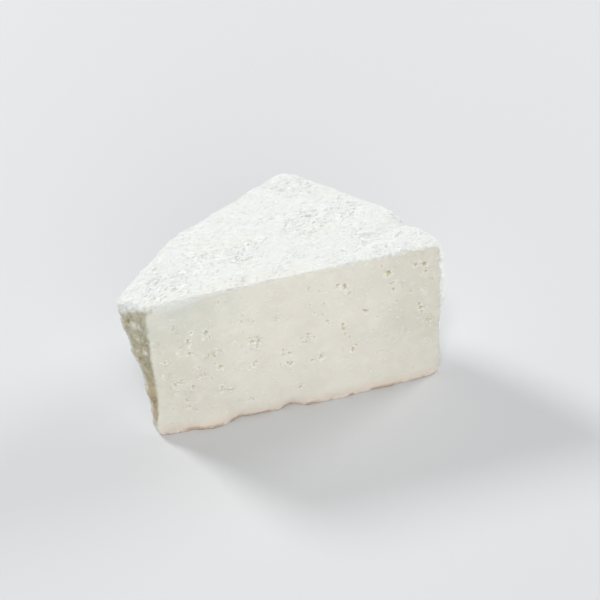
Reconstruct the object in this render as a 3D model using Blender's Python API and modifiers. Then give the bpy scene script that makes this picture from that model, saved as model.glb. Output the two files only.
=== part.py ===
"""A wedge of feta cheese, one solid body cut from the corner of a moulded block.

The long upright face towards -Y is a clean knife cut, pocked with small curd pits. The top, the
base, the narrow end and the two back faces are the block's own outer skin, soft at the edges.
Metres, +Z up. The wedge stands on its base, and the origin is under the middle of its box.
"""

import math

import bmesh
import bpy
import numpy as np
from mathutils import Vector, noise

MM = 0.001

# Driving dimensions in millimetres. Plan places are measured from the foot of the cut face's
# left edge: x runs along the cut, y runs back into the cheese.
HEIGHT = 95.0
CORNERS = {
    # name: (top x, top y), (base x, base y), how far the upright edge is rounded off
    "cut_left": ((0.8, 2.9), (0.0, 0.0), 0.5),
    "cut_right": ((186.0, 4.6), (182.0, -2.0), 16.0),
    "haunch": ((161.8, 51.8), (159.0, 49.0), 12.0),
    "back": ((114.0, 116.5), (112.0, 112.0), 15.0),
    "shoulder": ((22.0, 62.5), (29.0, 53.0), 24.0),
    "end": ((-14.8, 16.0), (-1.0, 3.0), 2.2),
}
RIM_ROUNDING = {
    # the side that starts at this corner: how far its top rim and its base rim are rounded off
    "cut_left": (0.7, 0.0),
    "cut_right": (6.0, 2.5),
    "haunch": (6.0, 2.5),
    "back": (6.0, 2.5),
    "shoulder": (6.0, 2.5),
    "end": (3.0, 0.0),
}

# Relief in millimetres: how deep it is, and how wide its lumps are
SKIN_SWELL = (0.9, 34.0)
SKIN_LUMPS = (0.55, 13.0)
SKIN_FLAKES = (0.4, 6.5)
CUT_WAVES = (0.25, 30.0)
FLAKE_STRETCH = (1.6, 0.8, 1.0)

# How far behind the cut face its own finish reaches, and where the skin's takes over
CUT_DEPTH = (0.6, 3.0)
SKIN_DEPTH = (1.0, 7.0)
BASE_CLEARANCE = (0.5, 6.0)

# The right-hand back corner of the top sank in the mould: the drop, how far it reaches from
# that corner, the half width of the crease that bounds it, where it starts behind the cut, and
# how deep below the top the cheese gave way
SUNK_DROP = 3.4
SUNK_REACH = 42.0
SUNK_CREASE = 5.0
SUNK_START = (4.0, 26.0)
SUNK_DEPTH = 28.0

# The foot of the cut face, where the curd squeezed out or broke away:
# (x along the cut, height), half width, half height, how far out towards -Y
FOOT_BREAKS = (
    ((31.0, 0.0), 8.0, 7.0, 3.4),
    ((40.0, 0.0), 4.0, 6.0, 2.0),
    ((52.0, 0.0), 5.5, 4.0, -1.0),
    ((82.0, 0.0), 4.5, 5.0, -3.4),
    ((112.0, 0.0), 30.0, 12.0, 1.6),
)
FOOT_THICKNESS = (2.0, 12.0)

# Lumps and dents of the skin: (x, y, height), half width, how far out
SKIN_BUMPS = (
    ((178.0, 10.0, 56.0), 9.0, 3.8),
    ((180.0, 8.0, 74.0), 14.0, 1.4),
    ((184.0, 12.0, 95.0), 9.0, -2.6),
    ((-9.0, 9.0, 42.0), 24.0, -2.2),
    ((15.0, 50.0, 90.0), 10.0, -1.8),
)

# Curd pits on the cut face: x along the cut, height, radius of the cluster
PIT_CLUSTERS = (
    (144.5, 83.4, 1.6), (165.0, 83.5, 3.4), (118.6, 78.0, 3.2), (147.4, 73.6, 3.0),
    (163.6, 54.6, 2.6), (129.9, 59.6, 1.6), (115.1, 52.0, 2.6), (101.1, 34.9, 2.8),
    (93.9, 49.3, 4.0), (62.8, 55.0, 5.0), (80.4, 38.0, 4.5), (40.7, 41.8, 2.8),
    (33.6, 68.2, 1.8), (24.0, 68.0, 2.8), (20.5, 59.0, 3.6), (38.7, 53.2, 2.4),
    (15.3, 38.1, 3.0), (19.0, 21.0, 3.2), (42.9, 24.8, 2.6), (57.4, 70.7, 2.4),
)
PITS_PER_CLUSTER = 4
PIT_RADIUS = (1.0, 1.9)
PIT_DEPTH = 0.8
PIT_FLOOR = 0.2

# Fineness: the carving grid, the softening of the skin, and the triangles left in the solid
CARVING_GRID = 1.1
CORNER_STEPS = 7
BEVEL_STEPS = 6
SOFTENING_ROUNDS = 14
TRIANGLES = 10000
FLAT_BASE = 0.3
SEED = 41

CURD_WHITE = (0.86, 0.86, 0.80, 1.0)
CURD_ROUGHNESS = 0.62


def clear_scene():
    for obj in list(bpy.data.objects):
        bpy.data.objects.remove(obj, do_unlink=True)


def smooth_ramp(low, high, value):
    """0 below low, 1 above high, and an even curve between them."""
    t = np.clip((value - low) / (high - low), 0.0, 1.0)
    return t * t * (3.0 - 2.0 * t)


def feta_material():
    material = bpy.data.materials.new("feta_curd")
    material.use_nodes = True
    shader = material.node_tree.nodes["Principled BSDF"]
    shader.inputs["Base Color"].default_value = CURD_WHITE
    shader.inputs["Roughness"].default_value = CURD_ROUGHNESS
    shader.inputs["Metallic"].default_value = 0.0
    return material


def apply_modifiers(obj):
    """Keep the evaluated mesh and drop the modifiers that made it."""
    graph = bpy.context.evaluated_depsgraph_get()
    shaped = bpy.data.meshes.new_from_object(obj.evaluated_get(graph))
    obj.modifiers.clear()
    obj.data = shaped


def rounded_outline(level):
    """Plan points round the wedge at the top (0) or the base (1), each corner a soft curve."""
    corners = [np.array(place[level]) for place in CORNERS.values()]
    outline = []
    for index, place in enumerate(CORNERS.values()):
        corner = corners[index]
        before = corners[index - 1] - corner
        after = corners[(index + 1) % len(corners)] - corner
        start = corner + before / np.linalg.norm(before) * place[2]
        end = corner + after / np.linalg.norm(after) * place[2]
        for t in np.linspace(0.0, 1.0, CORNER_STEPS):
            outline.append((1.0 - t) ** 2 * start + 2.0 * t * (1.0 - t) * corner + t * t * end)
    return outline


def rim_roundings(level):
    """The rounding of each stretch of that outline's rim, blended round the corners."""
    sides = [place[level] for place in RIM_ROUNDING.values()]
    roundings = []
    for index, after in enumerate(sides):
        before = sides[index - 1]
        roundings.extend(np.linspace(before, after, CORNER_STEPS))
    return roundings


def wedge_prism(collection):
    """A prism from the base outline to the top one, with its rims rounded."""
    outlines = (rounded_outline(0), rounded_outline(1))
    roundings = (rim_roundings(0), rim_roundings(1))
    count = len(outlines[0])
    widest = max(roundings[0])
    shape = bmesh.new()
    bmesh.ops.create_cone(
        shape, cap_ends=True, segments=count, radius1=1.0, radius2=1.0, depth=1.0)
    turn = 2.0 * math.pi / count
    first = min(math.atan2(vert.co.y, vert.co.x) % turn for vert in shape.verts)
    step_of = {}
    for vert in shape.verts:
        step = round((math.atan2(vert.co.y, vert.co.x) - first) / turn) % count
        level = 0 if vert.co.z > 0.0 else 1
        step_of[vert] = (step, level)
        vert.co = Vector((*outlines[level][step], HEIGHT * (1 - level))) * MM
    weights = shape.edges.layers.float.new("bevel_weight_edge")
    for edge in shape.edges:
        (step_a, level_a), (step_b, level_b) = (step_of[vert] for vert in edge.verts)
        if level_a == level_b:
            step = max(step_a, step_b) if abs(step_a - step_b) > 1 else min(step_a, step_b)
            edge[weights] = roundings[level_a][step] / widest
    bmesh.ops.recalc_face_normals(shape, faces=shape.faces)
    mesh = bpy.data.meshes.new("feta_wedge")
    shape.to_mesh(mesh)
    shape.free()
    wedge = bpy.data.objects.new("feta_wedge", mesh)
    collection.objects.link(wedge)
    bevel = wedge.modifiers.new("rounded_rims", "BEVEL")
    bevel.limit_method = "WEIGHT"
    bevel.width = widest * MM
    bevel.segments = BEVEL_STEPS
    bevel.use_clamp_overlap = False
    return wedge


def lay_carving_grid(wedge):
    remesh = wedge.modifiers.new("carving_grid", "REMESH")
    remesh.mode = "VOXEL"
    remesh.voxel_size = CARVING_GRID * MM
    apply_modifiers(wedge)


def read_points(mesh):
    """The vertices' places in millimetres, and their normals."""
    points = np.empty(len(mesh.vertices) * 3)
    mesh.vertices.foreach_get("co", points)
    normals = np.empty(len(mesh.vertices) * 3)
    mesh.vertices.foreach_get("normal", normals)
    return points.reshape(-1, 3) / MM, normals.reshape(-1, 3)


def write_points(mesh, points):
    mesh.vertices.foreach_set("co", (points * MM).ravel())
    mesh.update()


def behind_cut(points):
    """Distance in millimetres from the leaning plane of the cut face, into the cheese."""
    left_top, left_base, _ = CORNERS["cut_left"]
    right_top, right_base, _ = CORNERS["cut_right"]
    foot = np.array([*left_base, 0.0])
    along = np.array([*right_base, 0.0]) - foot
    lean = (left_top[1] - left_base[1] + right_top[1] - right_base[1]) / 2.0
    inward = np.cross([0.0, lean, HEIGHT], along)
    inward /= np.linalg.norm(inward)
    return (points - foot - along / 2.0) @ inward


def soften_skin(wedge):
    """Round the moulded edges a little more, and leave the cut face's own edges crisp."""
    points, _ = read_points(wedge.data)
    skin = smooth_ramp(*SKIN_DEPTH, behind_cut(points))
    group = wedge.vertex_groups.new(name="skin")
    for index, weight in enumerate(skin):
        group.add([index], float(weight), "REPLACE")
    soften = wedge.modifiers.new("soft_skin", "SMOOTH")
    soften.factor = 0.5
    soften.iterations = SOFTENING_ROUNDS
    soften.vertex_group = group.name
    apply_modifiers(wedge)


def lumps(points, relief, stretch=(1.0, 1.0, 1.0)):
    """Even seeded noise, given how deep it is and how wide its lumps are."""
    depth, width = relief
    places = points / (width * np.array(stretch)) + SEED
    return depth * np.array([noise.noise(Vector(place)) for place in places])


def pit_depths(points):
    """Small round pits, scattered by a seeded rule inside each cluster."""
    rng = np.random.default_rng(SEED)
    depth = np.zeros(len(points))
    for along, height, reach in PIT_CLUSTERS:
        for _ in range(PITS_PER_CLUSTER):
            angle = rng.uniform(0.0, 2.0 * math.pi)
            distance = reach * math.sqrt(rng.uniform())
            radius = rng.uniform(*PIT_RADIUS)
            x = along + distance * math.cos(angle)
            z = height + distance * math.sin(angle)
            away = np.hypot(points[:, 0] - x, points[:, 2] - z) / radius
            bowl = 1.0 - smooth_ramp(PIT_FLOOR, 1.0, away)
            depth = np.maximum(depth, PIT_DEPTH * radius * bowl)
    return depth


def sunk_corner(points, depth_in):
    """How far each point drops where the right-hand back corner sank."""
    right = np.array(CORNERS["cut_right"][0])
    back = np.array(CORNERS["back"][0])
    towards_back = (back - right) / np.linalg.norm(back - right)
    from_right = (points[:, :2] - right) @ towards_back
    inside = 1.0 - smooth_ramp(SUNK_REACH - SUNK_CREASE, SUNK_REACH + SUNK_CREASE, from_right)
    below_top = smooth_ramp(HEIGHT - SUNK_DEPTH, HEIGHT, points[:, 2])
    return SUNK_DROP * inside * below_top * smooth_ramp(*SUNK_START, depth_in)


def carve(wedge):
    """Give the body its skin relief, sunk corner, bumps, broken foot, pits and flat base."""
    points, normals = read_points(wedge.data)
    depth_in = behind_cut(points)
    on_cut = 1.0 - smooth_ramp(*CUT_DEPTH, depth_in)
    on_skin = (1.0 - on_cut) * smooth_ramp(*BASE_CLEARANCE, points[:, 2])

    skin = lumps(points, SKIN_SWELL) + lumps(points, SKIN_LUMPS)
    skin += lumps(points, SKIN_FLAKES, FLAKE_STRETCH)
    cut = lumps(points, CUT_WAVES) - pit_depths(points)
    outward = skin * on_skin + cut * on_cut
    for place, half_width, out in SKIN_BUMPS:
        away = np.linalg.norm(points - np.array(place), axis=1) / half_width
        outward += out * np.exp(-away * away)
    moved = points + normals * outward[:, None]

    moved[:, 2] -= sunk_corner(points, depth_in)
    near_cut = 1.0 - smooth_ramp(*FOOT_THICKNESS, depth_in)
    for (along, height), half_width, half_height, out in FOOT_BREAKS:
        across = (points[:, 0] - along) / half_width
        up = (points[:, 2] - height) / half_height
        moved[:, 1] -= out * np.exp(-across * across - up * up) * near_cut

    moved[points[:, 2] < FLAT_BASE, 2] = 0.0
    moved[:, 2] = np.maximum(moved[:, 2], 0.0)
    write_points(wedge.data, moved)


def thin_mesh(wedge):
    """Thin the carved mesh to the wanted number of triangles."""
    fewer = wedge.modifiers.new("fewer_triangles", "DECIMATE")
    fewer.ratio = TRIANGLES / (2.0 * len(wedge.data.polygons))
    fewer.use_collapse_triangulate = True
    apply_modifiers(wedge)


def centre_on_origin(wedge):
    points, _ = read_points(wedge.data)
    low = points.min(axis=0)
    high = points.max(axis=0)
    below_middle = np.array([(low[0] + high[0]) / 2.0, (low[1] + high[1]) / 2.0, low[2]])
    write_points(wedge.data, points - below_middle)


def build_feta():
    clear_scene()
    collection = bpy.data.collections.new("feta_cheese")
    bpy.context.scene.collection.children.link(collection)
    wedge = wedge_prism(collection)
    lay_carving_grid(wedge)
    soften_skin(wedge)
    carve(wedge)
    thin_mesh(wedge)
    centre_on_origin(wedge)
    wedge.data.materials.clear()
    wedge.data.materials.append(feta_material())
    wedge.data.shade_smooth()


build_feta()
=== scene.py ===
"""The looks of a wedge of feta cheese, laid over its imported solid.

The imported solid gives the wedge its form. This script gives that form the fine relief of the
moulded skin and of the knife cut, the colours of the curd, and a plain table to stand on.
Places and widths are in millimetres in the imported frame, where the cut face looks along -Y. Only
the finish's bands and depths, the table's reach and the lights' places and widths are in metres.
"""

import math

import bmesh
import bpy
import numpy as np
from mathutils import Euler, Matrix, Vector, noise


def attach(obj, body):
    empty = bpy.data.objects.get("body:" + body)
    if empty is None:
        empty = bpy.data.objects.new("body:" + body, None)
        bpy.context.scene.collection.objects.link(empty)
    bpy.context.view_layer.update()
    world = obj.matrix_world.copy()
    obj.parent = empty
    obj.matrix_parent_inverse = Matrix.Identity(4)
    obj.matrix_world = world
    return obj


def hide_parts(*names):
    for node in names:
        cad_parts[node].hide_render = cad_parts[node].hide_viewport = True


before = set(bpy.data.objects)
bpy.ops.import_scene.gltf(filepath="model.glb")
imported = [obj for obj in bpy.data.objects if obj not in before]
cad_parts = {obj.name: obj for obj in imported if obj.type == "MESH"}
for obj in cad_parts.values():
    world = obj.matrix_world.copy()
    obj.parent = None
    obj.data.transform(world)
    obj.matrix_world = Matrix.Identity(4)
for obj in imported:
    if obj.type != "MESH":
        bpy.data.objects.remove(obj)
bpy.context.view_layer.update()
MM = 0.001


# The wedge's body
# One thick piece of brined curd, cut with a long knife from the corner of a moulded block. The
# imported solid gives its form, and a grid as fine as the curd's grains is laid over it here. The
# moulded skin is softened, and the cut keeps its crisp edges.
CURD_GRID = 0.6
CUT_FACING = 0.985
CUT_BAND = (0.8, 5.0)
TABLE_BAND = (0.4, 4.0)
FRONT_RIM_FROM = (-52.0, -78.0)
FRONT_RIM_HEIGHT = (83.5, 90.0)
SOFTENING_SHARE = 0.5
SOFTENING_ROUNDS = 34


def ramp(low, high, value):
    """0 at low, 1 at high, and an even curve between them; low may be the larger one."""
    t = np.clip((value - low) / (high - low), 0.0, 1.0)
    return t * t * (3.0 - 2.0 * t)


def settle(piece):
    """Keep what the piece's modifiers make of it, and drop the modifiers."""
    graph = bpy.context.evaluated_depsgraph_get()
    shaped = bpy.data.meshes.new_from_object(piece.evaluated_get(graph))
    piece.modifiers.clear()
    piece.data = shaped


def places_of(piece):
    """The piece's vertices in millimetres, and the way each one faces."""
    places = np.empty(len(piece.data.vertices) * 3)
    piece.data.vertices.foreach_get("co", places)
    facing = np.empty(len(piece.data.vertices) * 3)
    piece.data.vertices.foreach_get("normal", facing)
    return places.reshape(-1, 3) / MM, facing.reshape(-1, 3)


def place(piece, places):
    """Put the piece's vertices at these places."""
    piece.data.vertices.foreach_set("co", (places * MM).ravel())
    piece.data.update()


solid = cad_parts["feta_wedge"]
cut_faces = [face for face in solid.data.polygons if -face.normal.y > CUT_FACING]
cut_areas = np.array([face.area for face in cut_faces])
knife_way = cut_areas @ np.array([face.normal[:] for face in cut_faces])
knife_way /= np.linalg.norm(knife_way)
reaches = np.array([face.center[:] for face in cut_faces]) @ knife_way / MM
by_reach = np.argsort(reaches)
half_way = np.searchsorted(np.cumsum(cut_areas[by_reach]), cut_areas.sum() / 2.0)
knife_reach = reaches[by_reach][half_way]


def behind_cut(places):
    """Distance from the plane of the knife cut into the cheese."""
    return knife_reach - places @ knife_way


wedge = bpy.data.objects.new("feta_curd_wedge", solid.data.copy())
bpy.context.scene.collection.objects.link(wedge)
grid = wedge.modifiers.new("curd_grid", "REMESH")
grid.mode = "VOXEL"
grid.voxel_size = CURD_GRID * MM
settle(wedge)

places, _ = places_of(wedge)
front_rim = ramp(*FRONT_RIM_FROM, places[:, 0]) * ramp(*FRONT_RIM_HEIGHT, places[:, 2])
soft = np.maximum(ramp(*CUT_BAND, behind_cut(places)), front_rim)
soft *= ramp(*TABLE_BAND, places[:, 2])
soft_group = wedge.vertex_groups.new(name="soft")
for index, weight in enumerate(soft):
    soft_group.add([index], float(weight), "REPLACE")
softening = wedge.modifiers.new("softening", "SMOOTH")
softening.factor = SOFTENING_SHARE
softening.iterations = SOFTENING_ROUNDS
softening.vertex_group = soft_group.name
settle(wedge)
wedge.vertex_groups.clear()


# The knife cut
# The knife left a flat, smooth face with faint upright streaks. It opened the small gaps between
# the curds, which stand in loose clusters with whey inside and painted shade in their upper parts.
# Pale crumbs lie under them, and they also carry a painted highlight.
BATCH_STEP = 31.7
CUT_LEFT = ((0.0, 16.0, 95.0), (-86.4, -83.7, -83.5))
CUT_RIGHT = ((40.0, 60.0, 95.0), (92.4, 91.4, 91.3))
CUT_TOP = ((-84.0, -62.0, -45.0, 0.0, 92.0), (89.6, 91.4, 93.2, 94.4, 95.2))
CUT_EDGE_WOBBLE = ((0.6, 6.0), (0.4, 2.2))
CUT_LEFT_BLUR = 1.3
CUT_RIGHT_BLUR = 0.4
CUT_TOP_BLUR = ((-86.0, -62.0, -45.0, -15.0, 20.0), (6.0, 4.4, 2.0, 0.9, 0.4))
CUT_TOP_RAGGED = ((2.2, 5.0), (1.5, 2.2))
RAGGED_FROM = (25.0, 60.0)
RAGGED_LOWER = 0.3
CUT_THICKNESS = (1.0, 2.0)
CUT_TURNED = (0.15, 0.45)
FOOT_HEIGHT = (22.0, 14.0)
FOOT_THICKER = 9.0
CUT_FLAT_FROM = (4.0, 22.0)
CUT_FLAT_BEYOND = -1.0
CUT_FLAT_TO = ((-75.0, -40.0), (11.0, 1.5))
CUT_FLAT_DEPTH = 2.5
CUT_FLAT_TURNED = 0.1
CUT_WAVES = (0.18, 26.0)
CUT_STREAKS = (0.04, 2.6, (1.0, 1.0, 9.0))
CUT_GRAINS = ((0.06, 2.4), (0.05, 1.2))
FOOT_BAND = (5.0, 1.5)
FOOT_LUMPS = ((0.9, 7.0), (0.45, 2.8))
GAPS = (
    # x, height, reach of the cluster, how many gaps, the largest one's half width
    (59.5, 83.4, 0.0, 1, 1.4), (80.4, 84.1, 1.6, 3, 1.0), (76.1, 85.1, 0.4, 1, 0.8),
    (82.2, 79.5, 1.5, 2, 0.7), (28.0, 81.8, 0.5, 1, 1.0), (33.3, 79.8, 1.2, 2, 1.2),
    (34.4, 75.3, 2.0, 3, 0.7), (62.4, 73.6, 3.0, 4, 0.8), (78.0, 56.8, 0.2, 1, 1.0),
    (78.8, 54.0, 0.2, 1, 1.0), (79.5, 51.1, 0.2, 1, 0.8), (85.5, 43.0, 3.5, 5, 0.6),
    (44.9, 59.6, 0.5, 1, 1.0), (30.8, 50.4, 1.4, 4, 0.6), (36.6, 34.1, 0.8, 2, 1.0),
    (16.1, 34.9, 2.6, 5, 1.0), (8.9, 49.3, 4.2, 9, 0.9), (-22.2, 55.0, 4.8, 12, 0.9),
    (-4.3, 42.4, 2.4, 5, 0.9), (-4.9, 33.7, 2.6, 5, 0.9), (-24.0, 38.7, 2.0, 4, 0.8),
    (-44.3, 41.8, 1.2, 4, 0.9), (-51.4, 68.2, 1.0, 3, 1.0), (-60.0, 70.3, 0.6, 1, 0.8),
    (-61.7, 65.1, 1.2, 2, 1.0), (-69.3, 76.2, 1.0, 2, 0.7), (-67.3, 61.5, 0.8, 2, 0.7),
    (-61.3, 56.4, 1.4, 3, 0.9), (-48.1, 52.3, 1.4, 3, 0.8), (-44.4, 54.2, 1.2, 2, 0.8),
    (-76.5, 52.4, 1.5, 3, 0.7), (-69.7, 38.1, 3.0, 6, 0.8), (-61.3, 32.2, 0.6, 1, 0.9),
    (-54.1, 38.5, 2.0, 3, 0.7), (-45.0, 26.4, 1.6, 3, 0.8), (-39.2, 23.3, 1.8, 3, 0.7),
    (-66.3, 17.8, 1.4, 3, 0.8), (-65.7, 24.4, 1.8, 3, 0.7), (-28.4, 12.8, 1.6, 3, 0.7),
    (3.3, 14.9, 1.4, 2, 0.8), (-25.3, 70.1, 1.2, 2, 0.6), (-30.0, 71.3, 0.8, 1, 0.7),
    (-42.1, 86.9, 0.8, 2, 0.6), (18.3, 81.3, 1.2, 2, 0.6), (11.2, 83.0, 1.4, 3, 0.6),
    (-9.9, 68.5, 1.8, 3, 0.6), (22.1, 57.6, 1.4, 3, 0.6), (30.3, 53.0, 0.2, 1, 1.0),
    (30.8, 50.2, 0.2, 1, 1.0), (31.6, 46.4, 0.2, 1, 0.7),
)
GAP_SEED = 5
GAP_SMALLEST = 0.45
GAP_LENGTHENED = (1.0, 1.7)
LONE_GAPS = 80
LONE_GAP_FIELD = ((-80.0, 88.0), (5.0, 91.0))
LONE_GAP_WIDTH = (0.35, 0.6)
GAP_MARGIN = 1.2
GAP_MARGIN_IN = 1.0
GAP_SURROUNDINGS = (2.0, 4.0)
GAP_OUTLINE = (0.75, 0.9)
GAP_WALL = (1.05, 0.45)
GAP_FILLING = 1.2
GAP_SHADED = (-0.3, 0.5)
GAP_DEPTH = 0.9
CRUMBS_OUT = 0.32
CRUMBS_AT = (1.45, 0.5)
CRUMBS_BELOW = 0.7
CRUMB_WIDTH = 1.3
CRUMB_LEVELS = (-0.25, 0.3)
ROUGH_REACH = 4.5
ROUGH_GRAINS = ((0.16, 1.6), (0.12, 0.95))


def bell(value):
    """1 at 0, falling evenly to next to nothing by 2 on either side."""
    return np.exp(-value ** 2)


def curdled(places, width, stretch=(1.0, 1.0, 1.0), batch=0):
    """Even noise from -1 to 1 in lumps of that width; each batch gives other lumps."""
    scaled = places / (width * np.array(stretch)) + BATCH_STEP * (batch + 1)
    return np.array([noise.noise(spot) for spot in scaled.tolist()])


def lumpy(places, lumps, batch):
    """Relief in lumps, given as how high, how wide and, for some, how stretched they are."""
    return lumps[0] * curdled(places, *lumps[1:], batch=batch)


def grained(places, grains, batch):
    """Relief in finer and finer lumps, one row of grains for each layer."""
    return sum(lumpy(places, lumps, step) for step, lumps in enumerate(grains, batch))


def from_cut_edges(places):
    """How far inside the visible cut's left, right and top edges each place is."""
    wobble = grained(places, CUT_EDGE_WOBBLE, 20)
    left = places[:, 0] - np.interp(places[:, 2], *CUT_LEFT)
    right = np.interp(places[:, 2], *CUT_RIGHT) - places[:, 0]
    top = np.interp(places[:, 0], *CUT_TOP) - places[:, 2]
    ragged = grained(places, CUT_TOP_RAGGED, 33) - RAGGED_LOWER
    top += ramp(*RAGGED_FROM, places[:, 0]) * ragged
    return left + wobble, right + wobble, top + wobble


def cut_share(places, facing):
    """1 on the knife cut and its broken foot, 0 on the moulded skin."""
    thicker = FOOT_THICKER * ramp(*FOOT_HEIGHT, places[:, 2])
    thinnest, thickest = CUT_THICKNESS
    thin = 1.0 - ramp(thinnest + thicker, thickest + thicker, behind_cut(places))
    left, right, top = from_cut_edges(places)
    inside = ramp(-CUT_LEFT_BLUR, CUT_LEFT_BLUR, left) * ramp(-CUT_RIGHT_BLUR, CUT_RIGHT_BLUR, right)
    top_blur = np.interp(places[:, 0], *CUT_TOP_BLUR)
    return thin * inside * ramp(-top_blur, top_blur, top) * ramp(*CUT_TURNED, facing @ knife_way)


places, facing = places_of(wedge)
depth_in = behind_cut(places)
flat_to = np.interp(places[:, 0], *CUT_FLAT_TO)
flatten = ramp(*CUT_FLAT_FROM, places[:, 2])
flatten *= ramp(CUT_FLAT_BEYOND, flat_to, np.minimum.reduce(from_cut_edges(places)))
flatten *= (depth_in < CUT_FLAT_DEPTH) & (facing @ knife_way > CUT_FLAT_TURNED)
places += knife_way * (depth_in * flatten)[:, None]
place(wedge, places)

draw = np.random.default_rng(GAP_SEED)
gaps = []
for x, height, reach, count, largest in GAPS:
    for number in range(count):
        round_by = draw.uniform(0.0, 2.0 * math.pi)
        away = reach * math.sqrt(draw.uniform())
        width = largest if number == 0 else draw.uniform(GAP_SMALLEST, largest)
        spot = (x + away * math.cos(round_by), height + away * math.sin(round_by))
        gaps.append((*spot, width, draw.uniform(*GAP_LENGTHENED), draw.uniform(0.0, math.pi)))
for _ in range(LONE_GAPS):
    spot = [draw.uniform(*span) for span in LONE_GAP_FIELD]
    width = draw.uniform(*LONE_GAP_WIDTH)
    gaps.append((*spot, width, draw.uniform(*GAP_LENGTHENED), draw.uniform(0.0, math.pi)))


def from_gap(places, gap, drop=0.0):
    """How far each place is from a gap's middle, in half widths of the gap."""
    x, height, width, length, lean = gap
    across = (places[:, 0] - x) / width
    up = (places[:, 2] - height) / width + drop
    along = (across * math.cos(lean) + up * math.sin(lean)) / length
    aside = up * math.cos(lean) - across * math.sin(lean)
    return np.hypot(along, aside)


# The grid is twice as fine in and around the gaps.
close = np.zeros(len(places), bool)
for x, height, width, _, _ in gaps:
    close |= np.hypot(places[:, 0] - x, places[:, 2] - height) < width + GAP_MARGIN
close &= behind_cut(places) < GAP_MARGIN_IN
finer = bmesh.new()
finer.from_mesh(wedge.data)
finer.verts.ensure_lookup_table()
fine_edges = [edge for edge in finer.edges if all(close[vert.index] for vert in edge.verts)]
bmesh.ops.subdivide_edges(finer, edges=fine_edges, cuts=1, use_grid_fill=True)
bmesh.ops.triangulate(finer, faces=[face for face in finer.faces if len(face.verts) > 4])
finer.to_mesh(wedge.data)
finer.free()

places, facing = places_of(wedge)
cut = cut_share(places, facing)
ragged = lumpy(places, GAP_OUTLINE, 9)
hollow = np.zeros(len(places))
shade = np.zeros(len(places))
crumbs_and_highlight = np.zeros(len(places))
for gap in gaps:
    x, height, width = gap[:3]
    surroundings = GAP_SURROUNDINGS[0] + GAP_SURROUNDINGS[1] * width
    near = np.abs(places[:, 0] - x) < surroundings
    near &= np.abs(places[:, 2] - height) < surroundings
    near &= cut > 0.0
    spots = places[near]
    filling = min(GAP_FILLING * width, 1.0)
    inside = ramp(*GAP_WALL, from_gap(spots, gap) + ragged[near]) * filling
    # The lip below each gap holds pale crumbs that also carry a painted highlight, and the part
    # above the middle is marked for painted shade.
    lip = from_gap(spots, gap, CRUMBS_BELOW) + ragged[near]
    lip = bell((lip - CRUMBS_AT[0]) / CRUMBS_AT[1]) * filling
    above = ramp(*GAP_SHADED, (spots[:, 2] - height) / width)
    hollow[near] = np.maximum(hollow[near], inside)
    shade[near] = np.maximum(shade[near], inside * above)
    crumbs_and_highlight[near] = np.maximum(crumbs_and_highlight[near], lip)
crumbs_and_highlight *= (1.0 - hollow) * ramp(*CRUMB_LEVELS, curdled(places, CRUMB_WIDTH, batch=10))

rough = np.zeros(len(places))
for x, height, reach, _, largest in GAPS:
    away = np.hypot(places[:, 0] - x, places[:, 2] - height)
    rough = np.maximum(rough, largest * ramp(reach + ROUGH_REACH, 0.5 * reach, away))

cut_relief = lumpy(places, CUT_WAVES, 11)
cut_relief += lumpy(places, CUT_STREAKS, 12)
cut_relief += grained(places, CUT_GRAINS, 13)
cut_relief += rough * grained(places, ROUGH_GRAINS, 15)
cut_relief += ramp(*FOOT_BAND, places[:, 2]) * grained(places, FOOT_LUMPS, 17)
cut_relief += CRUMBS_OUT * crumbs_and_highlight - GAP_DEPTH * hollow


# The moulded skin
# The top, the back and the narrow end dried against the mould and its cloth. Thin flakes of curd
# stand on them, drawn out along the cut, with short creases and crumbs between, in patches.
SKIN_ABOVE_TABLE = (0.3, 3.0)
TOP_ABOVE = 80.0
PATCH_WIDTH = (11.0, (1.5, 1.0, 1.0))
PATCH_LEVELS = (-0.1, 0.5)
PATCH_SHARE = 0.8
TOP_PATCHES = (
    # x, y on the top, how far the rough patch reaches
    (-66.0, -32.0, 14.0), (-42.0, -18.0, 10.0), (-20.0, -20.0, 12.0), (24.0, -2.0, 15.0),
    (48.0, 3.0, 12.0), (56.0, -43.0, 8.0), (76.0, -48.0, 12.0), (28.0, 38.0, 14.0),
)
TOP_PATCH_LENGTH = 1.3
TOP_PATCH_EDGE = (4.0, 8.0)
FLAKE_PATCH_LEVELS = (-0.25, 0.4)
FLAKES_BETWEEN = 0.25
DASHES_BETWEEN = 0.3
GRAINS_BETWEEN = 0.3
TOP_ROUGHER = (0.12, (76.0, 88.0))
LEFT_ROUGHER = (0.5, (-50.0, -82.0))
FOLDS = (
    # how deep, half width, then the places x, y along each fold of the top
    (0.7, 0.6, ((24.4, 9.3), (27.6, 7.6), (31.6, 8.4), (34.4, 9.1))),
    (0.6, 0.6, ((14.8, -6.0), (19.1, -4.3), (22.1, -6.5), (26.1, -5.7), (30.7, -3.0))),
    (0.8, 0.6, ((49.5, -6.5), (51.9, -4.0), (54.9, -1.7))),
    (0.6, 0.5, ((43.8, -8.8), (46.3, -6.9), (49.3, -5.3))),
    (0.8, 0.45, ((76.0, -26.0), (72.2, -29.5), (69.2, -31.5), (65.3, -34.0), (63.0, -38.0))),
    (0.8, 0.45, ((63.0, -38.0), (61.0, -41.5), (57.8, -41.0), (54.6, -39.5), (51.0, -39.0))),
    (0.5, 0.5, ((-30.5, -38.8), (-28.1, -38.6), (-24.6, -38.9), (-21.8, -37.4))),
    (0.5, 0.5, ((-23.6, -26.0), (-19.3, -21.4), (-16.6, -15.6))),
    (0.5, 0.6, ((-3.8, -11.1), (1.2, -10.8))),
)
FOLD_BREAK_WIDTH = 2.4
FOLD_BREAKS = (-0.35, 0.1)
FOLD_SWELL = 0.4
FOLD_SWELL_OUT = 2.4
FOLD_SHADE = 3.0
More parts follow.
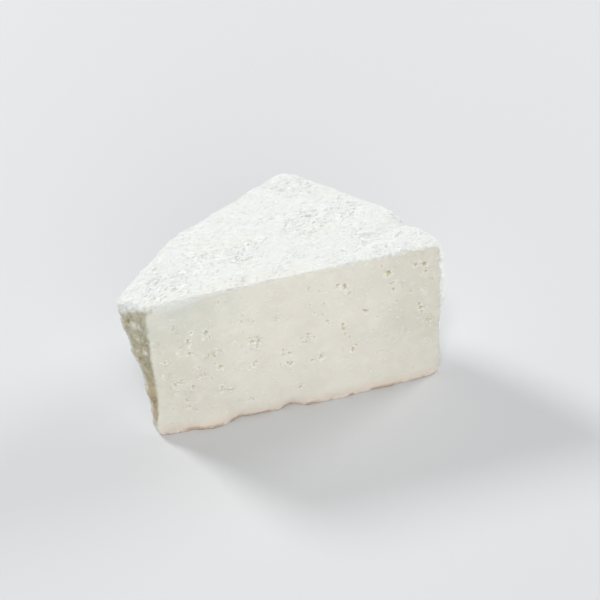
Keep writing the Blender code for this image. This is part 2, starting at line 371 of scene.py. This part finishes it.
RIM_DIPS = (
    # how deep, half width, then x, y of each dip in the top's back rim; a swell is below 0
    (1.6, 3.5, 11.0, 46.0), (2.2, 3.5, 36.0, 43.0), (1.8, 3.0, 79.0, -18.5),
    (-1.8, 6.0, 86.5, -27.0), (-1.2, 6.0, 76.0, -3.0),
)
RIM_DIPS_FROM = (78.0, 90.0)
FLAKE_LEAN = ((-85.0, -25.0), (26.0, 4.0))
LEAN_PIVOT = (-60.0, -25.0)
SKIN_WAVES = (0.35, 13.0, (1.4, 0.9, 1.0))
BROAD_FLAKES = (0.34, 4.6, (2.1, 0.8, 0.9))
FLAKE_SLOPE = (-0.03, 0.15)
DASHES = (0.46, 2.0, (1.9, 0.9, 0.8))
DASH_LEVELS = (0.14, 0.42)
SKIN_GRAINS = ((0.14, 1.5), (0.10, 0.9))
RIM_CRUMBS = ((1.5, 4.6), (1.1, 2.1))
RIM_CRUMBS_LOWEST = -0.5
RIM_BAND = 1.6
RIM_DEPTH = 4.0
RIM_FROM = (-30.0, 60.0)
RIM_ABOVE = 30.0
RIM_CALMED = 0.6
CREAM_BAND = (12.0, 4.0)
CREAM_WOBBLE = (3.0, 7.0)
CREAM_ALONG = ((-62.0, -35.0, 5.0, 30.0), (0.2, 1.0, 1.0, 0.0))
END_BEFORE = -80.0
END_OUTLINE = ((0.0, 5.0, 16.5, 28.0, 39.0, 62.0, 84.0, 93.0),
               (1.8, 3.0, 4.9, 6.1, 7.4, 8.8, 10.6, 12.6))
END_WOBBLE = (0.5, 3.0)
END_EDGE = (1.2, 0.2)
END_TOP = 91.5
END_TOP_WOBBLE = (2.2, 3.5, (1.0, 1.0, 2.5))
END_TOP_LOWERED = (3.5, (-88.0, -95.0))
END_TOP_BLUR = 1.4
END_FLAKES = (0.5, 3.4, (0.8, 0.8, 1.3))
END_GRAINS = ((1.5, 9.0), (0.6, 4.5), (0.22, 1.7))
END_SHADE_BESIDE_CUT = (4.6, 1.2)
END_SHADE_WOBBLE = (1.0, 3.0)
END_SHADE_ABOVE = (34.0, 52.0)
END_PALE_RIM = (-1.9, -1.0)
SPOT_WOBBLE = (1.2, 1.5)
SPOT_CORE = 0.4
WHEY_SPOTS = (
    # x, y, height, reach, how brown: drops of whey that dried on the end
    (-93.2, -43.3, 82.4, 2.0, 1.0), (-94.0, -42.5, 78.0, 1.8, 0.5),
    (-89.7, -46.2, 56.0, 2.0, 0.8), (-84.8, -51.1, 26.9, 4.0, 0.45),
)
PALE_SPOTS = (
    # x, y, height, reach, how pale: curds that stayed white on the end
    (-90.0, -46.2, 79.4, 3.4, 1.0), (-87.7, -48.2, 78.1, 2.4, 1.0),
    (-89.0, -46.8, 70.0, 2.2, 1.0), (-87.0, -48.6, 61.0, 1.8, 1.0),
)
CURD_TRIANGLES = 190_000


def at_least(least, share):
    """The share, with its 0 raised to that least value; 1 stays 1."""
    return least + (1.0 - least) * share


def flaked(places, flakes, batch):
    """Flat-topped flakes with steep torn edges, as high above the ground as they are below."""
    height, width, stretch = flakes
    return height * (ramp(*FLAKE_SLOPE, curdled(places, width, stretch, batch)) - 0.5)


def from_line(places, line):
    """Distance of each place from a broken line, seen from above."""
    nearest = np.full(len(places), np.inf)
    for start, stop in zip(np.array(line[:-1]), np.array(line[1:])):
        along = stop - start
        share = np.clip((places[:, :2] - start) @ along / (along @ along), 0.0, 1.0)
        gap = places[:, :2] - start - share[:, None] * along
        nearest = np.minimum(nearest, np.hypot(gap[:, 0], gap[:, 1]))
    return nearest


def spotted(places, spots, batch):
    """How much of a spot each place has, for rows of x, y, height, reach and share."""
    wobble = lumpy(places, SPOT_WOBBLE, batch)
    shares = np.zeros(len(places))
    for x, y, height, reach, share in spots:
        away = np.linalg.norm(places - np.array([x, y, height]), axis=1)
        shares = np.maximum(shares, share * ramp(reach, SPOT_CORE * reach, away + wobble))
    return shares


def mark(piece, name, values):
    """Leave a number at each vertex for the material to read."""
    layer = piece.data.attributes.new(name, "FLOAT", "POINT")
    layer.data.foreach_set("value", np.asarray(values, np.float32))


skin = (1.0 - cut) * ramp(*SKIN_ABOVE_TABLE, places[:, 2])
on_top = places[:, 2] > TOP_ABOVE
lean = np.radians(np.interp(places[:, 0], *FLAKE_LEAN))
from_pivot = places[:, :2] - np.array(LEAN_PIVOT)
leaned = places.copy()
leaned[:, 0] = from_pivot[:, 0] * np.cos(lean) + from_pivot[:, 1] * np.sin(lean)
leaned[:, 1] = from_pivot[:, 1] * np.cos(lean) - from_pivot[:, 0] * np.sin(lean)

patch = PATCH_SHARE * ramp(*PATCH_LEVELS, curdled(places, *PATCH_WIDTH, 1))
patch_edge = lumpy(places, TOP_PATCH_EDGE, 22)
for x, y, reach in TOP_PATCHES:
    away = np.hypot((places[:, 0] - x) / TOP_PATCH_LENGTH, places[:, 1] - y) + patch_edge
    patch = np.maximum(patch, ramp(reach, 0.5 * reach, away) * on_top)
flake_patch = ramp(*FLAKE_PATCH_LEVELS, curdled(places, *PATCH_WIDTH, 2))
dashes = curdled(leaned, *DASHES[1:], 5)
strength = at_least(DASHES_BETWEEN, patch)
strength += TOP_ROUGHER[0] * ramp(*TOP_ROUGHER[1], places[:, 2]) * (1.0 - patch)
strength *= 1.0 + LEFT_ROUGHER[0] * ramp(*LEFT_ROUGHER[1], places[:, 0]) * on_top
# dent and lift also tell the finish where to paint shade into the creases and a highlight onto the
# raised flakes.
dent = ramp(*DASH_LEVELS, -dashes) * strength
lift = ramp(*DASH_LEVELS, dashes) * strength
skin_relief = lumpy(places, SKIN_WAVES, 3)
skin_relief += flaked(leaned, BROAD_FLAKES, 4) * at_least(FLAKES_BETWEEN, flake_patch)
skin_relief += DASHES[0] * (lift - dent)
skin_relief += grained(leaned, SKIN_GRAINS, 6) * at_least(GRAINS_BETWEEN, patch)

unbroken = ramp(*FOLD_BREAKS, curdled(places, FOLD_BREAK_WIDTH, batch=30)) * on_top
for depth, half_width, line in FOLDS:
    away = from_line(places, line)
    groove = bell(away / half_width) * unbroken
    swell = bell((away - FOLD_SWELL_OUT * half_width) / half_width) * unbroken
    skin_relief += depth * (FOLD_SWELL * swell - groove)
    # Painted shade in the fold's groove and a painted highlight on the swell beside it.
    dent = np.maximum(dent, FOLD_SHADE * depth * groove)
    lift = np.maximum(lift, swell)
for depth, half_width, x, y in RIM_DIPS:
    away = np.hypot(places[:, 0] - x, places[:, 1] - y) / half_width
    skin_relief -= depth * bell(away) * ramp(*RIM_DIPS_FROM, places[:, 2])

outline = behind_cut(places) - np.interp(places[:, 2], *END_OUTLINE)
outline += lumpy(places, END_WOBBLE, 31)
drape = END_TOP + lumpy(places, END_TOP_WOBBLE, 23)
drape -= END_TOP_LOWERED[0] * ramp(*END_TOP_LOWERED[1], places[:, 0])
end = ramp(*END_EDGE, outline) * (places[:, 0] < END_BEFORE) * skin
end *= ramp(END_TOP_BLUR, -END_TOP_BLUR, places[:, 2] - drape)
skin_relief += (flaked(places, END_FLAKES, 24) + grained(places, END_GRAINS, 25)) * end
beside_cut = behind_cut(places) + lumpy(places, END_SHADE_WOBBLE, 28)
end_shade = ramp(*END_SHADE_BESIDE_CUT, beside_cut)
end_shade *= ramp(*END_SHADE_ABOVE, places[:, 2]) * end
end_pale = np.maximum(spotted(places, PALE_SPOTS, 32), ramp(*END_PALE_RIM, outline)) * end

_, right, top = from_cut_edges(places)
rim = bell(np.minimum(right, top) / RIM_BAND) * (behind_cut(places) < RIM_DEPTH)
rim *= ramp(*RIM_FROM, places[:, 0]) * (places[:, 2] > RIM_ABOVE)
rim_relief = np.maximum(grained(places, RIM_CRUMBS, 26), RIM_CRUMBS_LOWEST) * rim

skin_part = skin * (1.0 - RIM_CALMED * rim)
moved = places + facing * (skin_relief * skin_part + cut_relief * cut + rim_relief)[:, None]
moved[:, 2] = np.maximum(moved[:, 2], 0.0)
place(wedge, moved)

front_band = ramp(*CREAM_BAND, behind_cut(places) + lumpy(places, CREAM_WOBBLE, 34)) * on_top
marks = {
    "skin": 1.0 - cut,
    "hollow": hollow * cut,
    "shade": shade * cut,
    "crumbs_and_highlight": crumbs_and_highlight * cut,
    "rough": rough * cut,
    "patch": patch * skin,
    "dent": dent * skin,
    "lift": lift * skin,
    "end": end,
    "end_shade": end_shade,
    "end_spot": spotted(places, WHEY_SPOTS, 29) * end,
    "end_pale": end_pale,
    "front": front_band * np.interp(places[:, 0], *CREAM_ALONG),
}
for name, values in marks.items():
    mark(wedge, name, values)

triangles = sum(len(face.vertices) - 2 for face in wedge.data.polygons)
fewer = wedge.modifiers.new("fewer_triangles", "DECIMATE")
fewer.ratio = CURD_TRIANGLES / triangles
settle(wedge)
wedge.data.shade_smooth()


# The curd's finish
# Brined curd is matte, faintly moist and lets a little light in. The skin is white, the cut is a
# greyer cream, the narrow end has dried to beige, and whey tints the gaps yellow.
SKIN_WHITE = (0.81, 0.828, 0.80, 1.0)
SKIN_HIGHLIGHT = (0.96, 0.965, 0.94, 1.0)
SKIN_CREASE_SHADE = (0.68, 0.68, 0.63, 1.0)
SKIN_CREAM = (0.82, 0.805, 0.70, 1.0)
CUT_CREAM = (0.82, 0.793, 0.697, 1.0)
CUT_SHADE = (0.72, 0.70, 0.598, 1.0)
CUT_COOL = (0.70, 0.71, 0.64, 1.0)
POCK_SHADE = (0.63, 0.61, 0.51, 1.0)
CRUMB_WHITE = (0.94, 0.93, 0.87, 1.0)
CUT_PINK = (0.80, 0.745, 0.66, 1.0)
WHEY_GREY = (0.62, 0.60, 0.47, 1.0)
WHEY_GOLD = (0.66, 0.53, 0.24, 1.0)
SHADED_WHEY = (0.42, 0.36, 0.21, 1.0)
END_BEIGE = (0.50, 0.475, 0.35, 1.0)
END_PALE = (0.76, 0.75, 0.66, 1.0)
END_OLIVE = (0.36, 0.345, 0.235, 1.0)
END_TAN = (0.50, 0.38, 0.22, 1.0)
END_BROWN = (0.32, 0.21, 0.07, 1.0)
FOOT_PINK = (0.76, 0.66, 0.56, 1.0)
FOOT_BEIGE = (0.50, 0.35, 0.235, 1.0)

# Bands along X and up Z, in metres, as where each one starts and where it is full.
RIGHT_RIM_X = (0.089, 0.094)
RIGHT_PART_X = (0.020, 0.060)
LEFT_PART_X = (0.010, -0.060)
RIGHT_END_X = (0.035, 0.085)
LEFT_END_X = (-0.030, -0.070)
COOL_X = (-0.015, -0.055)
TOP_Z = (0.076, 0.088)
COOL_Z = (0.062, 0.084)
END_PALE_Z = (0.064, 0.084)
END_TAN_Z = (0.070, 0.015)
SHADED_ENDS_Z = (0.012, 0.042)
LOW_CREAM_Z = (0.035, 0.0)
FOOT_PINK_Z = (0.010, 0.002)
FOOT_LINE_Z = (0.0036, 0.0012)

CREAM_PATCHES = {"width": 16.0, "stretch": (1.8, 1.0, 1.0)}
CREAM_LEVELS = (0.5, 0.7)
CREAM_HIGH_UP = 0.3
CREAM_IN_FRONT = 0.4
FINE_DASHES = {"width": 1.6, "stretch": (1.7, 0.9, 0.8), "detail": 2.0, "lean": 28.0}
FINE_BETWEEN = 0.35
FINE_ON_TOP = 0.15
FINE_RIM_CALMED = 0.7
FINE_DENT_LEVELS = (0.41, 0.31)
FINE_LIFT_LEVELS = (0.59, 0.69)
CLUSTERS = {"width": 9.0, "detail": 1.0}
CLUSTER_LEVELS = (0.48, 0.64)
CLUSTERS_IN_MIDDLE = 0.35
CLUSTERS_AT_RIGHT = 0.5
GRANULES = {"width": 2.2, "stretch": (1.2, 1.0, 0.9), "detail": 2.0}
GRANULES_ALL_OVER = 0.15
GRANULES_IN_CLUSTERS = 0.5
GRANULES_BY_GAPS = 0.7
POCK_LEVELS = (0.40, 0.30)
PALE_CURD_LEVELS = (0.57, 0.66)
SHADE_AT_RIGHT = 0.9
SHADE_AT_FOOT = 0.5
SHADE_IN_PATCHES = 0.3
GOLD_IN_PATCHES = 0.6
WHEY_IN_GAPS = 0.6
WHEY_MORE_AT_RIGHT = 0.25
DARK_IN_GAPS = 0.4
DARK_MORE_AT_RIGHT = 0.35
CURD_GRAIN = {"width": 0.9, "detail": 4.0}
GRAIN_ON_CUT = 0.25
SKIN_GRAINIER = 0.35
FINE_LIFT_BUMP = 0.9
POCK_BUMP = 0.4
PALE_CURD_BUMP = 0.6
BUMP_STRENGTH = 0.9
BUMP_HEIGHT = 0.0005
CUT_ROUGHNESS = 0.52
SKIN_ROUGHER = 0.16
CURD_SPECULAR = 0.35
CURD_LIGHT_IN = 0.1
CURD_LIGHT_REACH = (0.0006, (1.0, 0.85, 0.6))


class Curd:
    """A socket of the curd's material. Sums and products of it add Math nodes."""

    def __init__(self, shading, socket):
        self.shading = shading
        self.socket = socket

    def node(self, kind, settings, values, output=0):
        """Any other node: its kind, its settings, its sockets' values or links, its output."""
        made = self.shading.nodes.new(kind)
        for name, setting in settings.items():
            setattr(made, name, setting)
        for name, value in values.items():
            if isinstance(value, Curd):
                self.shading.links.new(value.socket, made.inputs[name])
            else:
                made.inputs[name].default_value = value
        return Curd(self.shading, made.outputs[output])

    def math(self, operation, first, second):
        return self.node("ShaderNodeMath", {"operation": operation}, {0: first, 1: second})

    def __add__(self, other):
        return self.math("ADD", self, other)

    __radd__ = __add__

    def __mul__(self, other):
        return self.math("MULTIPLY", self, other)

    __rmul__ = __mul__

    def __sub__(self, other):
        return self.math("SUBTRACT", self, other)

    def __rsub__(self, other):
        return self.math("SUBTRACT", other, self)

    def between(self, low, high):
        """0 at low, 1 at high, and an even curve between them."""
        settings = {"interpolation_type": "SMOOTHSTEP"}
        values = {"Value": self, "From Min": low, "From Max": high}
        return self.node("ShaderNodeMapRange", settings, values)

    def mottle(self, width, stretch=(1.0, 1.0, 1.0), detail=3.0, lean=0.0):
        """Noise from 0 to 1 in lumps of that width, turned about the upright by the lean."""
        scale = [width * MM * along for along in stretch]
        turned = {"Vector": self, "Scale": scale, "Rotation": (0.0, 0.0, math.radians(lean))}
        spot = self.node("ShaderNodeMapping", {"vector_type": "TEXTURE"}, turned)
        values = {"Vector": spot, "Scale": 1.0, "Detail": detail}
        return self.node("ShaderNodeTexNoise", {}, values)

    def marked(self, name):
        """What the relief left at this spot, from 0 to 1."""
        return self.node("ShaderNodeAttribute", {"attribute_name": name}, {}, output=2)

    def tint(self, ground, colour, share):
        """That share of a colour over the ground."""
        values = {0: share, 6: ground, 7: colour}
        return self.node("ShaderNodeMix", {"data_type": "RGBA"}, values, output=2)

    def layered(self, ground, *layers):
        """The ground under further colours, each with where it lies and how strong it is."""
        for colour, where, strength in layers:
            ground = self.tint(ground, colour, where * strength)
        return ground


curd = bpy.data.materials.new("feta_curd")
curd.use_nodes = True
shader = curd.node_tree.nodes["Principled BSDF"]
here = Curd(curd.node_tree, None).node("ShaderNodeTexCoord", {}, {}, output=3)
x_here = here.node("ShaderNodeSeparateXYZ", {}, {"Vector": here}, output=0)
z_here = here.node("ShaderNodeSeparateXYZ", {}, {"Vector": here}, output=2)
on_skin = here.marked("skin")

in_patch = here.marked("patch")
# A painted highlight along the skin's right rim, where the fine dashes are also calmed.
right_rim_highlight = x_here.between(*RIGHT_RIM_X)
fine_share = at_least(FINE_BETWEEN, in_patch)
fine_share = fine_share + FINE_ON_TOP * z_here.between(*TOP_Z) * (1.0 - in_patch)
fine_share = fine_share * (1.0 - FINE_RIM_CALMED * right_rim_highlight) * on_skin
# Fine dashes bump the skin and also carry painted shade in their dents and a painted highlight on
# their lifts.
fine_dashes = here.mottle(**FINE_DASHES)
fine_dents = fine_dashes.between(*FINE_DENT_LEVELS) * fine_share
fine_lifts = fine_dashes.between(*FINE_LIFT_LEVELS) * fine_share
creamy = here.mottle(**CREAM_PATCHES).between(*CREAM_LEVELS)
creamy = creamy * (CREAM_HIGH_UP + z_here.between(*LOW_CREAM_Z))
creamy = creamy + CREAM_IN_FRONT * here.marked("front")
# The skin's colour carries painted light: shade in its dents, creases and fine dashes, and a
# highlight on its lifted flakes, fine dashes and right rim.
skin_colour = here.layered(
    here.tint(SKIN_WHITE, SKIN_CREAM, creamy),
    (SKIN_HIGHLIGHT, here.marked("lift") + right_rim_highlight, 0.6),
    (SKIN_HIGHLIGHT, fine_lifts, 0.9),
    (SKIN_CREASE_SHADE, here.marked("dent"), 0.17),
    (SKIN_CREASE_SHADE, fine_dents, 0.6),
)

end_colour = here.layered(
    END_BEIGE,
    (END_PALE, z_here.between(*END_PALE_Z), 0.35),
    (END_TAN, z_here.between(*END_TAN_Z), 0.6),
    (END_OLIVE, here.marked("end_shade"), 0.3),
    (END_OLIVE, here.mottle(6.0, detail=2.0).between(0.42, 0.60), 0.35),
    (END_TAN, here.mottle(4.5, detail=2.0).between(0.50, 0.66), 0.45),
    (END_PALE, here.mottle(3.4, detail=3.0).between(0.58, 0.68), 0.45),
    (END_PALE, here.marked("end_pale"), 0.65),
    (END_BROWN, here.marked("end_spot"), 0.8),
)
skin_colour = here.tint(skin_colour, end_colour, here.marked("end"))

to_right = x_here.between(*RIGHT_PART_X)
to_left = x_here.between(*LEFT_PART_X)
clusters = here.mottle(**CLUSTERS).between(*CLUSTER_LEVELS)
clusters = clusters * (CLUSTERS_IN_MIDDLE + to_left + CLUSTERS_AT_RIGHT * to_right)
granular = GRANULES_ALL_OVER + GRANULES_IN_CLUSTERS * clusters
granular = (granular + GRANULES_BY_GAPS * here.marked("rough")) * (1.0 - on_skin)
granules = here.mottle(**GRANULES)
# Pocks are small sunken grains tinted darker as painted shade; pale curds are raised and paler.
pocks = granules.between(*POCK_LEVELS) * granular
pale_curds = granules.between(*PALE_CURD_LEVELS) * granular
# The cut gets darker towards its two ends, a painted shade that is weaker near the foot; random
# patches of the same darker cream lie all over it.
shade_at_ends = x_here.between(*LEFT_END_X) + SHADE_AT_RIGHT * x_here.between(*RIGHT_END_X)
shade_at_ends = shade_at_ends * at_least(SHADE_AT_FOOT, z_here.between(*SHADED_ENDS_Z))
shaded = here.mottle(18.0).between(0.4, 0.65) * SHADE_IN_PATCHES + shade_at_ends
golden = here.mottle(7.0).between(0.42, 0.58) * GOLD_IN_PATCHES + to_right
whey = here.tint(WHEY_GREY, WHEY_GOLD, golden)
foot_line = z_here.between(*FOOT_LINE_Z) * here.mottle(6.0).between(0.38, 0.54)
cut_colour = here.layered(
    here.tint(CUT_CREAM, CUT_SHADE, shaded),
    (CUT_COOL, z_here.between(*COOL_Z) * x_here.between(*COOL_X), 0.6),
    (CUT_PINK, here.mottle(13.0, detail=2.0).between(0.50, 0.66), 0.5),
    (CRUMB_WHITE, here.mottle(8.0, detail=3.0).between(0.45, 0.75), 0.2),
    (CRUMB_WHITE, pale_curds, 0.9),
    (POCK_SHADE, pocks, 0.5),
    (whey, here.marked("hollow"), WHEY_IN_GAPS + WHEY_MORE_AT_RIGHT * to_right),
    # Dark whey with painted shade in the gaps' upper parts, and pale crumbs with a painted highlight
    # below them.
    (SHADED_WHEY, here.marked("shade"), DARK_IN_GAPS + DARK_MORE_AT_RIGHT * to_right),
    (CRUMB_WHITE, here.marked("crumbs_and_highlight"), 0.9),
    (FOOT_PINK, z_here.between(*FOOT_PINK_Z), 0.7),
    (FOOT_BEIGE, foot_line, 0.8),
)
colour = here.tint(cut_colour, skin_colour, on_skin)
curd.node_tree.links.new(colour.socket, shader.inputs["Base Color"])

grain = here.mottle(**CURD_GRAIN) * (GRAIN_ON_CUT + SKIN_GRAINIER * on_skin)
bumps = grain + fine_lifts * FINE_LIFT_BUMP - fine_dents
bumps = bumps - pocks * POCK_BUMP + pale_curds * PALE_CURD_BUMP
relief = {"Height": bumps, "Strength": BUMP_STRENGTH, "Distance": BUMP_HEIGHT}
bump = here.node("ShaderNodeBump", {}, relief)
curd.node_tree.links.new(bump.socket, shader.inputs["Normal"])
roughness = CUT_ROUGHNESS + SKIN_ROUGHER * on_skin
curd.node_tree.links.new(roughness.socket, shader.inputs["Roughness"])
shader.inputs["Specular IOR Level"].default_value = CURD_SPECULAR
shader.inputs["Subsurface Weight"].default_value = CURD_LIGHT_IN
shader.inputs["Subsurface Scale"].default_value = CURD_LIGHT_REACH[0]
shader.inputs["Subsurface Radius"].default_value = CURD_LIGHT_REACH[1]

wedge.data.materials.clear()
wedge.data.materials.append(curd)
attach(wedge, "root")
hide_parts("feta_wedge")


# The table
# A plain, pale grey top that the wedge stands on.
TABLE_GREY = (0.68, 0.685, 0.69, 1.0)
TABLE_ROUGHNESS = 0.8
TABLE_REACH = 4.0
TABLE_BELOW = 0.02

bpy.ops.mesh.primitive_circle_add(vertices=96, radius=TABLE_REACH, fill_type="NGON")
table = bpy.context.object
table.name = "table"
table.location.z = -TABLE_BELOW * MM
table_paint = bpy.data.materials.new("table_paint")
table_paint.use_nodes = True
paint = table_paint.node_tree.nodes["Principled BSDF"]
paint.inputs["Base Color"].default_value = TABLE_GREY
paint.inputs["Roughness"].default_value = TABLE_ROUGHNESS
table.data.materials.append(table_paint)


# Light
# A soft light high behind the wedge's left, a weaker one beyond its right, one over its front, a
# wide fill from the front, and a pale room round them.
LIGHT_AIM = (0.0, 0.0, 0.05)
SOFT_LIGHTS = (
    # name, place, width, watts
    ("back_left", (-1.15, 1.55, 1.50), 0.6, 33.0),
    ("back_right", (1.70, 0.55, 0.90), 0.8, 16.0),
    ("over_front", (-0.45, -1.20, 2.00), 0.5, 13.0),
    ("front_fill", (-0.10, -2.20, 1.00), 1.6, 19.0),
)
ROOM_COLOUR = (0.95, 0.97, 1.0, 1.0)
ROOM_STRENGTH = 0.3

for name, spot, width, watts in SOFT_LIGHTS:
    light = bpy.data.lights.new(name, "AREA")
    light.shape = "DISK"
    light.size = width
    light.energy = watts
    lamp = bpy.data.objects.new(name, light)
    bpy.context.scene.collection.objects.link(lamp)
    lamp.location = spot
    lamp.rotation_euler = (Vector(LIGHT_AIM) - Vector(spot)).to_track_quat("-Z", "Y").to_euler()

room = bpy.data.worlds.new("room")
bpy.context.scene.world = room
room.use_nodes = True
room.node_tree.nodes["Background"].inputs["Color"].default_value = ROOM_COLOUR
room.node_tree.nodes["Background"].inputs["Strength"].default_value = ROOM_STRENGTH
bpy.context.scene.view_settings.view_transform = "Standard"


# The camera
# It looks down on the cut face from a little to its left, with a long lens.
CAMERA_SPOT = (-170.55, -708.21, 606.91)
CAMERA_TURN = (52.067, 2.209, -16.721)
CAMERA_SENSOR = 36.0
CAMERA_LENS = 90.0

lens = bpy.data.cameras.new("camera")
lens.sensor_width = CAMERA_SENSOR
lens.lens = CAMERA_LENS
camera = bpy.data.objects.new("camera", lens)
bpy.context.scene.collection.objects.link(camera)
camera.location = Vector(CAMERA_SPOT) * MM
camera.rotation_euler = Euler([math.radians(turn) for turn in CAMERA_TURN])
bpy.context.scene.camera = camera
